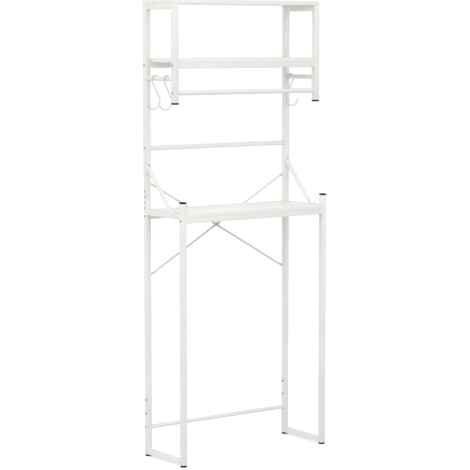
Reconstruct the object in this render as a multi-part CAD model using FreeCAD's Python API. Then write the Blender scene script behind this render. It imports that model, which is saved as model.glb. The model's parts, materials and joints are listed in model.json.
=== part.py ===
import FreeCAD, Part
import math
import os

# Over-the-toilet storage rack: two welded side frames in two storeys, three shelves, round bars,
# a crossed back brace, two struts, hanging hooks and levelling feet.  Millimetres.
# +Z is up from the floor, +X is to the right, -Y is the open front.

# ---- overall sizes ----
rack_width = 650.0             # over the outer faces of the posts
lower_depth = 243.0            # lower side frames, front to back
upper_depth = 197.0            # upper side frames, front to back
foot_height = 7.0              # floor to the underside of the frame
lower_post_top = 936.0         # top of the lower posts, where the upper posts stand
upper_frame_top = 1632.0       # top of the upper side frames
drop_post_bottom = 1286.0      # lower end of the upper front posts

# ---- square tube, round bar and board ----
tube = 20.0                    # outside of the square tube
tube_wall = 1.2
tube_corner = 1.6              # outside corner radius of the tube
bar_diameter = 16.0
bar_wall = 1.2
board = 15.0                   # thickness of the shelf boards
board_edge = 0.8               # rounding of the board edges
board_gap = 0.5                # board to tube, each side

# ---- heights above the floor ----
lower_shelf_top = 901.0
middle_shelf_top = 1441.0
side_rail_drop = 1.0           # side rails sit this far under the lower shelf's top
stabiliser_height = 107.0
spare_hole_pitch = 50.0        # two spare positions above the stabiliser bar
spare_hole_count = 2
rear_towel_height = 1120.0
front_towel_height = 1320.5
hook_rod_height = 1370.0
brace_top_height = 1005.0
brace_bottom_height = 648.0

# ---- sleeve joint between the storeys ----
sleeve_wall = 1.5
sleeve_reach = 40.0            # into each post
sleeve_fit = 0.1               # sleeve to tube, each side
sleeve_screw_pitch = 20.0
sleeve_screw_count = 4

# ---- inserts, caps, collars and feet ----
insert_length = 18.0
cap_head = 6.0
cap_plug = 12.0
cap_edge = 1.2
collar_rim = 4.0               # collar to rod, all round
collar_length = 3.0
rod_socket = 6.0               # hook rod into the drop post's back wall
foot_diameter = 23.0
foot_lip = 1.5                 # soft edge under the pad
stud_radius = 3.0
stud_length = 26.0
foot_travel = 9.0              # how far a foot screws out
running_fit = 0.08             # radial, stud in its insert

# ---- brace and strut ----
brace_diameter = 7.5
brace_gap = 0.25               # brace rod to the back of the posts
brace_tab = 2.0
brace_tab_width = 10.5
brace_end_flat = 16.0          # flat length from the hole centre inwards
brace_centre_flat = 12.5       # flat length each side of the crossing
press_length = 12.0            # from round to flat
strut_diameter = 15.0
strut_tab = 3.0
strut_tab_width = 17.0
strut_top_hole = 1060.0
strut_top_flat = 14.0          # below the top hole
strut_foot_inset = 35.0        # front post to the foot's screw hole
strut_foot_flat = 31.0         # from the foot's bend to its hole
strut_bend = 26.0              # from the end of a tab to the full round

# ---- hooks ----
hook_wire = 4.0
hook_loop_clear = 3.5          # upper loop to the rod, when centred on it
hook_bottom_radius = 28.0
hook_drop = 78.0               # between the centres of the two loops
hook_lean = 6.7                # the lower loop's centre stands outwards by this
hook_rest_gap = 0.3
hook_tip_angle = -5.0          # above the centre of the upper loop, on the inner side
hook_end_angle = 168.0         # round the lower loop, from the inner side
left_hook_places = (62.0, 137.0)     # from the back face of the posts
right_hook_place = 40.0

# ---- fasteners ----
bolt_radius = 3.0
bolt_head_radius = 4.6
bolt_head_height = 1.8
bolt_bite = 12.0               # thread inside an insert
screw_radius = 2.0
screw_head_radius = 3.9
screw_head_height = 1.8
board_screw_bite = 10.0        # into the board
access_radius = 5.0            # hole in the lower wall that lets a board screw in
shank_clearance = 0.15
spare_hole_radius = 3.5
socket_depth = 1.1
socket_across = 0.95           # recess radius as a share of the shank's radius
nut_length = 3.0
nut_radius = 5.0
board_screw_inset = 110.0      # long boards, from the end of the rail
top_screw_inset = 40.0         # top board, from the front and back of the bar

# ---- worked-out places ----
half_width = rack_width / 2
inner_x = half_width - tube                      # inner faces of the posts
post_x = half_width - tube / 2                   # centre lines of the posts
inside = tube - 2 * tube_wall
hook_top_radius = bar_diameter / 2 + hook_loop_clear + hook_wire / 2
brace_axis = brace_gap + brace_diameter / 2      # behind the back of the posts
back_reach = brace_axis + max(brace_diameter / 2, brace_tab + bolt_head_height)
front_reach = max(0.0, (foot_diameter - tube) / 2)
back_y = (lower_depth + front_reach - back_reach) / 2     # back faces of the posts
post_y = back_y - tube / 2
lower_front_y = back_y - lower_depth + tube / 2  # centre line of the lower front posts
drop_y = back_y - upper_depth + tube / 2         # centre line of the drop posts
side_rail_top = lower_shelf_top - side_rail_drop

X = FreeCAD.Vector(1, 0, 0)
Y = FreeCAD.Vector(0, 1, 0)
Z = FreeCAD.Vector(0, 0, 1)

nodes = {}


def point(x, y, z):
    return FreeCAD.Vector(x, y, z)


def block(low, high, radius=0.0, along=None):
    """A box between two corners; its edges along one axis, or all of them, are rounded."""
    solid = Part.makeBox(high.x - low.x, high.y - low.y, high.z - low.z, low)
    if radius <= 0:
        return solid
    edges = solid.Edges
    if along is not None:
        edges = [edge for edge in edges if edge.tangentAt(0).cross(along).Length < 1e-6]
    return solid.makeFillet(radius, edges)


def bar_block(start, along, length, side, radius):
    """A square bar with its centre line from start, along +X, +Y or +Z."""
    half = (X + Y + Z - along) * (side / 2)
    return block(start - half, start + half + along * length, radius, along)


def square_tube(start, along, length):
    outer = bar_block(start, along, length, tube, tube_corner)
    bore = bar_block(start - along, along, length + 2, inside, tube_corner - tube_wall)
    return outer.cut(bore)


def tube_plug(start, along, length):
    return bar_block(start, along, length, inside, tube_corner - tube_wall)


def round_tube(start, along, length):
    outer = Part.makeCylinder(bar_diameter / 2, length, start, along)
    return outer.cut(Part.makeCylinder(bar_diameter / 2 - bar_wall, length, start, along))


def round_plug(start, along, length):
    return Part.makeCylinder(bar_diameter / 2 - bar_wall, length, start, along)


def group(name, solid):
    """Adds a separate solid to a node that holds several identical pieces."""
    nodes.setdefault(name, []).append(solid)


def drill(names, seat, inward, radius, length):
    tool = Part.makeCylinder(radius, length, seat - inward, inward)
    for name in names:
        held = nodes[name]
        if isinstance(held, list):
            nodes[name] = [solid.cut(tool) for solid in held]
        else:
            nodes[name] = held.cut(tool)


def fastener(name, seat, inward, length, targets, radius, head_radius, head_height):
    """A low round head with a hex recess on a plain shank, and its hole through the targets."""
    head = Part.makeCylinder(head_radius, head_height, seat - inward * head_height, inward)
    rim = [edge for edge in head.Edges
           if len(edge.Vertexes) == 1 and (edge.CenterOfMass - seat).Length > head_height / 2]
    head = head.makeFillet(head_height * 0.45, rim)
    shank = Part.makeCylinder(radius, length, seat, inward)
    across = inward.cross(X if abs(inward.x) < 0.5 else Y)
    corners = []
    for step in range(7):
        turn = FreeCAD.Rotation(inward, 60 * step)
        corners.append(seat - inward * head_height + turn.multVec(across) * radius * socket_across)
    recess = Part.Face(Part.makePolygon(corners)).extrude(inward * socket_depth)
    group(name, head.fuse(shank).cut(recess).removeSplitter())
    drill(targets, seat, inward, radius + shank_clearance, length + 1 + shank_clearance)


def bolt(name, seat, inward, length, targets):
    fastener(name, seat, inward, length, targets, bolt_radius, bolt_head_radius, bolt_head_height)


def screw(name, seat, inward, length, targets):
    fastener(name, seat, inward, length, targets, screw_radius, screw_head_radius, screw_head_height)


def pressed_section(centre, across, through, width, thick):
    """A closed outline of four sides and four round corners, from nearly round to flat."""
    radius = min(width, thick) / 2 * 0.94
    half_w = width / 2
    half_t = thick / 2
    slant = radius * (1 - math.sqrt(0.5))
    edges = []
    corners = []
    for sign_w, sign_t in ((1, 1), (-1, 1), (-1, -1), (1, -1)):
        on_side = centre + across * (sign_w * half_w) + through * (sign_t * (half_t - radius))
        on_face = centre + across * (sign_w * (half_w - radius)) + through * (sign_t * half_t)
        middle = centre + across * (sign_w * (half_w - slant)) + through * (sign_t * (half_t - slant))
        ends = (on_side, middle, on_face) if sign_w == sign_t else (on_face, middle, on_side)
        corners.append(ends)
    for place, (first, middle, last) in enumerate(corners):
        edges.append(Part.Arc(first, middle, last).toShape())
        following = corners[(place + 1) % 4][0]
        edges.append(Part.LineSegment(last, following).toShape())
    return Part.Wire(edges)


# ---- side frames, sleeves, caps and feet ----
def build_side(side, sign):
    x = sign * post_x
    seam = lower_post_top
    nodes[side + "_lower_rear_post"] = square_tube(point(x, post_y, foot_height), Z, seam - foot_height)
    nodes[side + "_lower_front_post"] = square_tube(point(x, lower_front_y, foot_height), Z,
                                                    seam - foot_height)
    nodes[side + "_upper_rear_post"] = square_tube(point(x, post_y, seam), Z, upper_frame_top - seam)
    nodes[side + "_drop_post"] = square_tube(point(x, drop_y, drop_post_bottom), Z,
                                             upper_frame_top - drop_post_bottom)
    low_start = lower_front_y + tube / 2
    low_run = lower_depth - 2 * tube
    nodes[side + "_bottom_runner"] = square_tube(point(x, low_start, foot_height + tube / 2), Y, low_run)
    nodes[side + "_shelf_side_rail"] = square_tube(point(x, low_start, side_rail_top - tube / 2), Y, low_run)
    nodes[side + "_top_bar"] = square_tube(point(x, drop_y + tube / 2, upper_frame_top - tube / 2), Y,
                                           upper_depth - 2 * tube)
    build_sleeve(side, sign)
    build_cap(side + "_front_post_cap", point(x, lower_front_y, seam), 1)
    build_cap(side + "_drop_post_cap", point(x, drop_y, drop_post_bottom), -1)
    for end, y in (("front", lower_front_y), ("rear", post_y)):
        build_foot(side + "_" + end + "_foot", point(x, y, foot_height))


def build_sleeve(side, sign):
    name = side + "_post_sleeve"
    start = point(sign * post_x, post_y, lower_post_top - sleeve_reach)
    outer_side = inside - 2 * sleeve_fit
    outer = bar_block(start, Z, 2 * sleeve_reach, outer_side, tube_corner - tube_wall)
    bore = bar_block(start - Z, Z, 2 * sleeve_reach + 2, outer_side - 2 * sleeve_wall, 0)
    nodes[name] = outer.cut(bore)
    first = lower_post_top - sleeve_screw_pitch * (sleeve_screw_count - 1) / 2
    length = tube_wall + sleeve_fit + sleeve_wall + 3
    for step in range(sleeve_screw_count):
        seat = point(sign * half_width, post_y, first + step * sleeve_screw_pitch)
        posts = [side + "_lower_rear_post", side + "_upper_rear_post", name]
        screw("sleeve_screws", seat, X * -sign, length, posts)


def build_cap(name, seat, up):
    """A square head flush with the tube and a plug inside it; up is -1 on a hanging end."""
    low = seat if up > 0 else seat - Z * cap_head
    head = bar_block(low, Z, cap_head, tube, tube_corner)
    outer_z = seat.z + up * cap_head
    rim = [edge for edge in head.Edges if abs(edge.CenterOfMass.z - outer_z) < 1e-6]
    head = head.makeFillet(cap_edge, rim)
    plug_start = seat - Z * cap_plug if up > 0 else seat
    nodes[name] = head.fuse(tube_plug(plug_start, Z, cap_plug)).removeSplitter()


def build_foot(name, seat):
    """A round pad on a threaded stud, in a nut plug pressed into the end of the post."""
    pad = Part.makeCylinder(foot_diameter / 2, foot_height, seat - Z * foot_height)
    rims = [edge for edge in pad.Edges if len(edge.Vertexes) == 1 and abs(edge.CenterOfMass.z) < 1e-6]
    pad = pad.makeChamfer(foot_lip, rims)
    stud = Part.makeCylinder(stud_radius, stud_length, seat)
    nodes[name] = pad.fuse(stud).removeSplitter()
    insert = tube_plug(seat, Z, insert_length)
    bore = Part.makeCylinder(stud_radius + running_fit, insert_length + 2, seat - Z)
    group("foot_inserts", insert.cut(bore))


# ---- shelves ----
def build_rail(name, y, top, post):
    """A cross rail between the posts, with a nut plug in each end and a bolt through each post."""
    z = top - tube / 2
    nodes[name] = square_tube(point(-inner_x, y, z), X, 2 * inner_x)
    for side, sign in (("left", -1), ("right", 1)):
        start = inner_x - insert_length if sign > 0 else -inner_x
        group("rail_end_inserts", tube_plug(point(start, y, z), X, insert_length))
        seat = point(sign * half_width, y, z)
        bolt("shelf_rail_bolts", seat, X * -sign, tube + bolt_bite, [side + post, "rail_end_inserts"])


def fix_board(tube_name, board_name, x, y, tube_top):
    """A screw that bears on the tube's upper wall from inside, put in through a hole below it."""
    drill([tube_name], point(x, y, tube_top - tube), Z, access_radius, tube_wall + 2)
    seat = point(x, y, tube_top - tube_wall)
    screw("board_screws", seat, Z, tube_wall + board_screw_bite, [tube_name, board_name])


def build_shelf(name, front_y, top, front_post, rear_post):
    build_rail(name + "_front_rail", front_y, top - board, front_post)
    build_rail(name + "_rear_rail", post_y, top - board, rear_post)
    low = point(-inner_x + board_gap, front_y - tube / 2, top - board)
    high = point(inner_x - board_gap, back_y, top)
    nodes[name + "_board"] = block(low, high, board_edge)
    for rail, y in (("_front_rail", front_y), ("_rear_rail", post_y)):
        for sign in (-1, 1):
            fix_board(name + rail, name + "_board", sign * (inner_x - board_screw_inset), y, top - board)


def build_top_shelf():
    low = point(-half_width, drop_y - tube / 2, upper_frame_top)
    high = point(half_width, back_y, upper_frame_top + board)
    nodes["top_shelf_board"] = block(low, high, board_edge)
    for side, sign in (("left", -1), ("right", 1)):
        for y in (drop_y + tube / 2 + top_screw_inset, back_y - tube - top_screw_inset):
            fix_board(side + "_top_bar", "top_shelf_board", sign * post_x, y, upper_frame_top)


# ---- round bars ----
def build_bar(name, y, z, post):
    nodes[name] = round_tube(point(-inner_x, y, z), X, 2 * inner_x)
    for side, sign in (("left", -1), ("right", 1)):
        start = inner_x - insert_length if sign > 0 else -inner_x
        group("bar_end_inserts", round_plug(point(start, y, z), X, insert_length))
        seat = point(sign * half_width, y, z)
        bolt("bar_bolts", seat, X * -sign, tube + bolt_bite, [side + post, "bar_end_inserts"])


def build_hook_rod(side, sign):
    """A rod along the side: bolted through the rear post, let into the drop post's back wall."""
    x = sign * post_x
    start = point(x, drop_y + tube / 2 - rod_socket, hook_rod_height)
    length = back_y - tube - start.y
    drill([side + "_drop_post"], start - Y, Y, bar_diameter / 2, rod_socket + 4)
    nodes[side + "_hook_rod"] = round_tube(start, Y, length)
    end = point(x, back_y - tube, hook_rod_height)
    group("bar_end_inserts", round_plug(end - Y * insert_length, Y, insert_length))
    collar = Part.makeCylinder(bar_diameter / 2 + collar_rim, collar_length, end - Y * collar_length, Y)
    bore = Part.makeCylinder(bar_diameter / 2, collar_length + 2, end - Y * (collar_length + 1), Y)
    group("hook_rod_collars", collar.cut(bore))
    seat = point(x, back_y, hook_rod_height)
    bolt("hook_rod_bolts", seat, Y * -1, tube + bolt_bite, [side + "_upper_rear_post", "bar_end_inserts"])


def drill_spare_holes():
    for side, sign in (("left", -1), ("right", 1)):
        for step in range(1, spare_hole_count + 1):
            seat = point(sign * half_width, post_y, stabiliser_height + step * spare_hole_pitch)
            drill([side + "_lower_rear_post"], seat, X * -sign, spare_hole_radius, tube + 2)


# ---- crossed back brace ----
def build_brace_rod(name, rise, centre_shift):
    """A thin rod pressed flat at its ends and at the crossing; rise is +1 or -1 to the right."""
    middle_z = (brace_top_height + brace_bottom_height) / 2
    half_height = (brace_top_height - brace_bottom_height) / 2
    along = point(post_x, 0, rise * half_height).normalize()
    across = along.cross(Y)
    half_length = math.hypot(post_x, half_height)
    centre = point(0, back_y + brace_axis, middle_z)
    end_shift = brace_tab / 2 - brace_axis
    rod = None
    for sign in (-1, 1):
        way = along * sign
        places = (
            (0, centre_shift, brace_tab_width, brace_tab),
            (brace_centre_flat, centre_shift, brace_tab_width, brace_tab),
            (brace_centre_flat + press_length, 0, brace_diameter, brace_diameter),
            (half_length - brace_end_flat - press_length, 0, brace_diameter, brace_diameter),
            (half_length - brace_end_flat, end_shift, brace_tab_width, brace_tab),
            (half_length, end_shift, brace_tab_width, brace_tab),
        )
        outlines = []
        for distance, shift, width, thick in places:
            spot = centre + way * distance + Y * shift
            outlines.append(pressed_section(spot, across, Y, width, thick))
        half = Part.makeLoft(outlines, True, True)
        tip = centre + way * half_length + Y * (end_shift - brace_tab / 2)
        half = half.fuse(Part.makeCylinder(brace_tab_width / 2, brace_tab, tip, Y))
        rod = half if rod is None else rod.fuse(half)
    nodes[name] = rod.removeSplitter()
    for sign in (-1, 1):
        end = centre + along * (sign * half_length)
        level = "_upper_rear_post" if end.z > lower_post_top else "_lower_rear_post"
        side = "left" if end.x < 0 else "right"
        seat = point(end.x, back_y + brace_tab, end.z)
        screw("brace_screws", seat, Y * -1, brace_tab + tube_wall + 3, [name, side + level])


def build_brace():
    build_brace_rod("falling_brace_rod", -1, -brace_tab / 2)
    build_brace_rod("rising_brace_rod", 1, brace_tab / 2)
    middle_z = (brace_top_height + brace_bottom_height) / 2
    seat = point(0, back_y + brace_axis + brace_tab, middle_z)
    length = 2 * brace_tab + nut_length
    bolt("brace_centre_bolt", seat, Y * -1, length, ["falling_brace_rod", "rising_brace_rod"])
    nut = Part.makeCylinder(nut_radius, nut_length, seat - Y * length, Y)
    bore = Part.makeCylinder(bolt_radius, nut_length, seat - Y * length, Y)
    group("brace_centre_bolt", nut.cut(bore))


# ---- struts from the rear posts to the lower shelf's side rails ----
def build_strut(side, sign):
    name = side + "_strut"
    x = sign * post_x
    face_y = back_y - tube                       # front face of the rear post
    tab_y = face_y - strut_tab / 2
    tab_z = side_rail_top + strut_tab / 2
    top = point(x, tab_y, strut_top_hole)
    top_end = top - Z * strut_top_flat
    foot_hole = point(x, lower_front_y + tube / 2 + strut_foot_inset, tab_z)
    foot_start = foot_hole + Y * strut_foot_flat
    slope = (foot_start - top_end).normalize()
    normal = slope.cross(X)
    clear = strut_diameter / 2 - strut_tab / 2
    high = top_end + slope * strut_bend + normal * clear * 0.3
    low = foot_start - slope * strut_bend + normal * clear * 0.3
    outlines = [
        pressed_section(top, X, Y, strut_tab_width, strut_tab),
        pressed_section(top_end, X, Y, strut_tab_width, strut_tab),
        pressed_section(high, X, normal * -1, strut_diameter, strut_diameter),
        pressed_section(low, X, normal * -1, strut_diameter, strut_diameter),
        pressed_section(foot_start, X, Z * -1, strut_tab_width, strut_tab),
        pressed_section(foot_hole, X, Z * -1, strut_tab_width, strut_tab),
    ]
    strut = Part.makeLoft(outlines, True, True)
    round_end = strut_tab_width / 2
    strut = strut.fuse(Part.makeCylinder(round_end, strut_tab, top - Y * (strut_tab / 2), Y))
    strut = strut.fuse(Part.makeCylinder(round_end, strut_tab, foot_hole - Z * (strut_tab / 2), Z))
    nodes[name] = strut.removeSplitter()
    length = strut_tab + tube_wall + 4
    screw("strut_screws", top - Y * (strut_tab / 2), Y, length, [name, side + "_upper_rear_post"])
    screw("strut_screws", foot_hole + Z * (strut_tab / 2), Z * -1, length, [name, side + "_shelf_side_rail"])


# ---- S hooks ----
def build_hook(name, sign, place):
    """A bent wire hanging on the rod, in the plane across it; the lower loop opens outwards."""
    inward = X * -sign
    y = back_y - place
    sit = bar_diameter / 2 + hook_rest_gap + hook_wire / 2
    upper = point(sign * post_x, y, hook_rod_height + sit - hook_top_radius)
    lower = upper - inward * hook_lean - Z * hook_drop
    both = hook_top_radius + hook_bottom_radius
    shank = math.sqrt(hook_lean ** 2 + hook_drop ** 2 - both ** 2)
    tilt = math.atan2(-hook_drop, -hook_lean) - math.atan2(-shank, -both)

    def around(centre, radius, angle):
        return centre + inward * (radius * math.cos(angle)) + Z * (radius * math.sin(angle))

    tip = math.radians(hook_tip_angle)
    leave = math.pi + tilt
    finish = -math.radians(hook_end_angle)
    r1 = hook_top_radius
    r2 = hook_bottom_radius
    over = Part.Arc(around(upper, r1, tip), around(upper, r1, (tip + leave) / 2), around(upper, r1, leave))
    under = Part.Arc(around(lower, r2, tilt), around(lower, r2, (tilt + finish) / 2),
                     around(lower, r2, finish))
    run = Part.LineSegment(around(upper, r1, leave), around(lower, r2, tilt))
    path = Part.Wire([over.toShape(), run.toShape(), under.toShape()])
    start = around(upper, r1, tip)
    heading = inward * -math.sin(tip) + Z * math.cos(tip)
    section = Part.Wire(Part.makeCircle(hook_wire / 2, start, heading))
    wire = path.makePipeShell([section], True, False)
    for ball in (start, around(lower, r2, finish)):
        wire = wire.fuse(Part.makeSphere(hook_wire / 2, ball))
    nodes[name] = wire


for side_name, side_sign in (("left", -1), ("right", 1)):
    build_side(side_name, side_sign)
build_shelf("lower_shelf", lower_front_y, lower_shelf_top, "_lower_front_post", "_lower_rear_post")
build_shelf("middle_shelf", drop_y, middle_shelf_top, "_drop_post", "_upper_rear_post")
build_top_shelf()
build_bar("rear_stabiliser_bar", post_y, stabiliser_height, "_lower_rear_post")
build_bar("rear_towel_bar", post_y, rear_towel_height, "_upper_rear_post")
build_bar("front_towel_bar", drop_y, front_towel_height, "_drop_post")
drill_spare_holes()
for side_name, side_sign in (("left", -1), ("right", 1)):
    build_hook_rod(side_name, side_sign)
    build_strut(side_name, side_sign)
build_brace()
build_hook("left_rear_s_hook", -1, left_hook_places[0])
build_hook("left_front_s_hook", -1, left_hook_places[1])
build_hook("right_s_hook", 1, right_hook_place)

os.makedirs("parts", exist_ok=True)
for node, held in nodes.items():
    shape = Part.makeCompound(held) if isinstance(held, list) else held
    shape.exportStep("parts/" + node + ".step")
    print(node, len(shape.Solids), round(shape.Volume), shape.isValid())
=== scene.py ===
import json
import math

import bmesh
import bpy
from mathutils import Matrix, Vector


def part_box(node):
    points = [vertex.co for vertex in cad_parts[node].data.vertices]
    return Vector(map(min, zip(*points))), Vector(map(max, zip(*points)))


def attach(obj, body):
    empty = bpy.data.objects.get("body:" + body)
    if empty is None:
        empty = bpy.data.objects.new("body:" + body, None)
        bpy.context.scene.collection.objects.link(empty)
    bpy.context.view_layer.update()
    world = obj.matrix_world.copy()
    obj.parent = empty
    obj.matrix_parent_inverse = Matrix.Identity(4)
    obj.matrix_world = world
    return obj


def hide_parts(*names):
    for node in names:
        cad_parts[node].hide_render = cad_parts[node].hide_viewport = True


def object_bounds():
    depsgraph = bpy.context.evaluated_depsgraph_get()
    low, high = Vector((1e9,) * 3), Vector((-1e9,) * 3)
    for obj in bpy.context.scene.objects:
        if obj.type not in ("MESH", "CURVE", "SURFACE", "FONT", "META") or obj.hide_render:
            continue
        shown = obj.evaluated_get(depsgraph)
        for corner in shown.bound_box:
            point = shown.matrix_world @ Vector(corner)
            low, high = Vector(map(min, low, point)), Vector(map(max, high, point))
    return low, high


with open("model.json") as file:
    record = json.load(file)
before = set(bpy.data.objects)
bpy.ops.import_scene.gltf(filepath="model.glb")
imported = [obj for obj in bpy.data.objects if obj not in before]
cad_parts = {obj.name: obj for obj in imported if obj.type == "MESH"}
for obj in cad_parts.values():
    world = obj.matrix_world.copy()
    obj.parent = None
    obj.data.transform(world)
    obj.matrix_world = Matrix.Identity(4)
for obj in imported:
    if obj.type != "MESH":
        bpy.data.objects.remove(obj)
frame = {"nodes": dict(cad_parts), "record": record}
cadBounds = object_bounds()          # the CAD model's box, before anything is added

mm = 0.001
xAxis, yAxis, zAxis = Vector((1, 0, 0)), Vector((0, 1, 0)), Vector((0, 0, 1))
sides = {"left": -1, "right": 1}
print("stage: frame loaded,", len(frame["nodes"]), "nodes")


# Small tools used all over.
def holdOnly(*items):                       # leaves edit mode and selects only these
    if bpy.context.object and bpy.context.object.mode != "OBJECT":
        bpy.ops.object.mode_set(mode="OBJECT")
    bpy.ops.object.select_all(action="DESELECT")
    for item in items:
        item.select_set(True)
    bpy.context.view_layer.objects.active = items[-1]


def openEdit(item):
    holdOnly(item)
    bpy.ops.object.mode_set(mode="EDIT")
    bpy.ops.mesh.select_all(action="DESELECT")


def pick(item, kind, test):                 # in edit mode, selects what passes the test
    bpy.ops.mesh.select_mode(type=kind)
    bpy.ops.mesh.select_all(action="DESELECT")
    shape = bmesh.from_edit_mesh(item.data)
    for part in {"VERT": shape.verts, "EDGE": shape.edges, "FACE": shape.faces}[kind]:
        if test(part):
            part.select_set(True)
    shape.select_flush_mode()
    bmesh.update_edit_mesh(item.data)


def turnOut(item):                          # merges doubles and points every face outwards
    openEdit(item)
    bpy.ops.mesh.select_all(action="SELECT")
    bpy.ops.mesh.remove_doubles(threshold=0.000005)
    bpy.ops.mesh.normals_make_consistent(inside=False)
    bpy.ops.object.mode_set(mode="OBJECT")


def settle(item):                           # puts the place into the mesh
    holdOnly(item)
    bpy.ops.object.transform_apply(location=True, rotation=True, scale=True)


def copyTo(master, seat, inward, spin=0.0):  # a copy with its own mesh; the master points down -Z
    copied = master.copy()
    copied.data = master.data.copy()
    bpy.context.scene.collection.objects.link(copied)
    turn = Vector(inward).to_track_quat("-Z", "Y").to_matrix().to_4x4()
    copied.matrix_world = Matrix.Translation(seat) @ turn @ Matrix.Rotation(spin, 4, "Z")
    settle(copied)
    return copied


def joined(items, name):
    holdOnly(*items)
    bpy.ops.object.join()
    bpy.context.object.name = name
    return bpy.context.object


def discard(item):
    bpy.data.objects.remove(item, do_unlink=True)


def cutAway(item, cutter):                  # takes the cutter's shape out of the item
    holdOnly(item)
    cut = item.modifiers.new("cut", "BOOLEAN")
    cut.object = cutter
    cut.operation = "DIFFERENCE"
    cut.solver = "EXACT"
    bpy.ops.object.modifier_apply(modifier=cut.name)
    discard(cutter)


def pieceName(node):                        # left_top_bar becomes leftTopBar
    words = node.split("_")
    return words[0] + "".join(word.capitalize() for word in words[1:])


def bodyOf(node):
    for body, members in frame["record"]["behaviour"]["bodies"].items():
        if node in members:
            return body


def finishPiece(item, node, material, angle=35, name=None, stands=True):
    turnOut(item)
    holdOnly(item)
    bpy.ops.object.shade_smooth_by_angle(angle=math.radians(angle))
    item.name = name or pieceName(node)
    item.data.name = item.name
    item.data.materials.clear()
    item.data.materials.append(material)
    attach(item, bodyOf(node))
    if stands:
        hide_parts(node)
    return item


def middleOf(node):
    low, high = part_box(node)
    return (low + high) / 2


# Finishes.
def hexColour(code):                        # sRGB hex to linear
    def linear(part):
        value = int(part, 16) / 255
        return value / 12.92 if value <= 0.04045 else ((value + 0.055) / 1.055) ** 2.4
    return (linear(code[1:3]), linear(code[3:5]), linear(code[5:7]), 1.0)


def addNode(tree, kind, settings=None, links=None):
    node = tree.nodes.new(kind)
    for key, value in (settings or {}).items():
        if key in node.inputs:
            node.inputs[key].default_value = value
        else:
            setattr(node, key, value)
    for key, source in (links or {}).items():
        tree.links.new(source, node.inputs[key])
    return node


def startMaterial(name, fixed):
    material = bpy.data.materials.new(name)
    material.use_nodes = True
    tree = material.node_tree
    tree.nodes.clear()
    shader = addNode(tree, "ShaderNodeBsdfPrincipled", fixed)
    output = addNode(tree, "ShaderNodeOutputMaterial", None, {"Surface": shader.outputs["BSDF"]})
    output.is_active_output = True
    place = addNode(tree, "ShaderNodeTexCoord").outputs["Object"]
    return material, tree, shader, place


def perMetre(millimetres):                  # a pattern's scale from its real spacing
    return 1000.0 / millimetres


def tint(tree, shader, factor, dark, light, low=0.3, high=0.7):
    span = addNode(tree, "ShaderNodeMapRange", {"From Min": low, "From Max": high}, {"Value": factor})
    mix = addNode(tree, "ShaderNodeMix", {"data_type": "RGBA"}, {"Factor": span.outputs["Result"]})
    mix.inputs[6].default_value = hexColour(dark)
    mix.inputs[7].default_value = hexColour(light)
    tree.links.new(mix.outputs[2], shader.inputs["Base Color"])


def roughen(tree, shader, factor, low, high):
    span = addNode(tree, "ShaderNodeMapRange", {"To Min": low, "To Max": high}, {"Value": factor})
    tree.links.new(span.outputs["Result"], shader.inputs["Roughness"])


def emboss(tree, shader, height, depth, strength):
    bump = addNode(tree, "ShaderNodeBump", {"Strength": strength, "Distance": depth}, {"Height": height})
    tree.links.new(bump.outputs["Normal"], shader.inputs["Normal"])


powderCoat = {"dark": "#E9E9E6", "light": "#EFEFEC", "peel": 2.6, "peelDepth": 0.012, "drift": 70,
              "smoothest": 0.36, "roughest": 0.50}


def makePowderCoat(name, colours):
    # polyester powder sprayed on steel and baked: satin, with a soft orange peel and no grain;
    # real peel is 1 to 2 mm across, drawn a little coarser so that the gloss breaks up
    material, tree, shader, place = startMaterial(name, {"IOR": 1.5, "Metallic": 0.0,
                                                         "Specular IOR Level": 0.25})
    peel = addNode(tree, "ShaderNodeTexNoise", {"Scale": perMetre(colours["peel"]), "Detail": 2.0},
                   {"Vector": place}).outputs["Fac"]
    drift = addNode(tree, "ShaderNodeTexNoise", {"Scale": perMetre(colours["drift"]), "Detail": 3.0},
                    {"Vector": place}).outputs["Fac"]
    tint(tree, shader, drift, colours["dark"], colours["light"])
    roughen(tree, shader, peel, colours["smoothest"], colours["roughest"])
    emboss(tree, shader, peel, colours["peelDepth"] * mm, 0.6)
    return material


powderCoatedSteel = makePowderCoat("powderCoatedSteel", powderCoat)
shadeGreyedWire = dict(powderCoat, dark="#D6D6D6", light="#DEDEDE")          # painted shade: the thin bars get a greyer coat for their darker shading
shadeGreyedBrace = dict(powderCoat, dark="#DADADA", light="#E2E2E2")
# painted shade: the wire and brace coats are greyer copies of the same white powder coat, standing in for
# the darker shading on the thin round bars
shadeGreyedWireCoat = makePowderCoat("shadeGreyedWireCoat", shadeGreyedWire)
shadeGreyedBraceCoat = makePowderCoat("shadeGreyedBraceCoat", shadeGreyedBrace)

melamine = {"dark": "#F3F4EF", "light": "#F8F9F4", "pearl": 1.6, "pearlDepth": 0.02, "cloud": 120}


def makeMelamine():
    # paper soaked in melamine resin, pressed hot on chipboard against an embossed steel plate:
    # even white, low sheen, a fine pearl emboss of about 0.8 mm, drawn twice as coarse to show
    material, tree, shader, place = startMaterial("melamineFacedBoard", {"IOR": 1.55, "Metallic": 0.0})
    pearl = addNode(tree, "ShaderNodeTexVoronoi",
                    {"Scale": perMetre(melamine["pearl"]), "feature": "SMOOTH_F1"},
                    {"Vector": place}).outputs["Distance"]
    cloud = addNode(tree, "ShaderNodeTexNoise", {"Scale": perMetre(melamine["cloud"]), "Detail": 4.0},
                    {"Vector": place}).outputs["Fac"]
    tint(tree, shader, cloud, melamine["dark"], melamine["light"])
    roughen(tree, shader, cloud, 0.34, 0.44)
    emboss(tree, shader, pearl, melamine["pearlDepth"] * mm, 0.5)
    return material


edgeBand = {"dark": "#EBECE6", "light": "#EFF0EA", "line": 1.2, "lineDepth": 0.004, "stretch": 0.03}


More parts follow.
